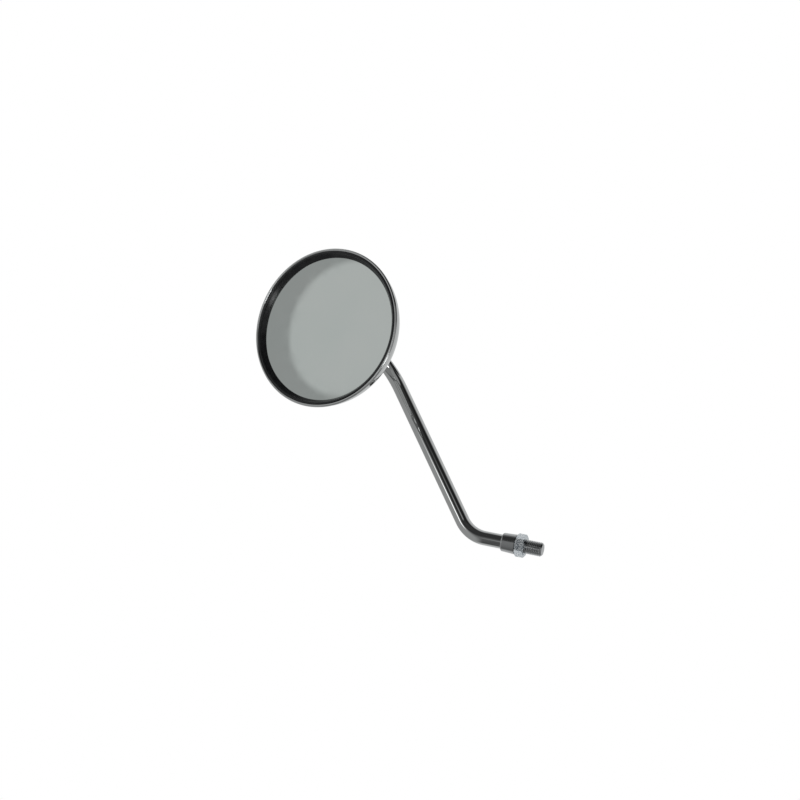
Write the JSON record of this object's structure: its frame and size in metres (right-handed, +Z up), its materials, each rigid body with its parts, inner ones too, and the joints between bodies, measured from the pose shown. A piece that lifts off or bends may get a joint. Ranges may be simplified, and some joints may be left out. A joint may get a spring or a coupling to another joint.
{
  "type": "motorcycle mirror",
  "caption": "Round chrome motorcycle mirror on a bent round-bar stem with a threaded stud, a lock nut and a ball joint behind the head.",
  "frame": {"origin": "on the threaded stud's axis, at the lock nut's lower face where the mirror meets its perch", "axes": "+Z up the stud towards the stem, +X the way the stem leans, -Y the way the glass faces"},
  "size_m": [0.1786, 0.1004, 0.2114],
  "materials": {
    "chrome": "polished chrome plate",
    "collar_steel": "darker satin chrome",
    "steel": "ground steel",
    "zinc": "clear-blue zinc plate",
    "rubber": "smooth black rubber",
    "nylon": "natural nylon",
    "mirror": "silvered convex glass",
    "foam": "closed-cell foam"
  },
  "bodies": {
    "stem": {"stem": "chrome", "ball": "steel", "collar": "collar_steel"},
    "lock_nut": {"lock_nut": "zinc"},
    "neck_boot": {"neck_boot": "rubber"},
    "ball_cups": {"ball_cup_rear": "nylon", "ball_cup_front": "nylon"},
    "head": {"shell": "chrome", "rim_gasket": "rubber", "mirror_glass": "mirror", "foam_pad": "foam", "clamp_plate": "zinc", "clamp_screw_1": "zinc", "clamp_screw_2": "zinc", "clamp_screw_3": "zinc", "lock_washer_1": "zinc", "lock_washer_2": "zinc", "lock_washer_3": "zinc", "weld_nut_1": "zinc", "weld_nut_2": "zinc", "weld_nut_3": "zinc"}
  },
  "joints": [
    {"name": "lock_nut_turn", "type": "hinge", "parent": "stem", "child": "lock_nut", "pos_m": [0, 0, 0], "axis": [0, 0, 1], "continuous": true},
    {"name": "head_spin", "type": "hinge", "parent": "stem", "child": "neck_boot", "pos_m": [0.11594, -0.06417, 0.14204], "axis": [-0.0199, -0.9901, 0.1387], "continuous": true},
    {"name": "head_tilt", "type": "hinge", "parent": "neck_boot", "child": "ball_cups", "pos_m": [0.11594, -0.06417, 0.14204], "axis": [-0.9998, 0.0201, 0], "range_deg": [-15, 15]},
    {"name": "head_turn", "type": "hinge", "parent": "ball_cups", "child": "head", "pos_m": [0.11594, -0.06417, 0.14204], "axis": [0.0028, 0.1387, 0.9903], "range_deg": [-15, 15]}
  ]
}
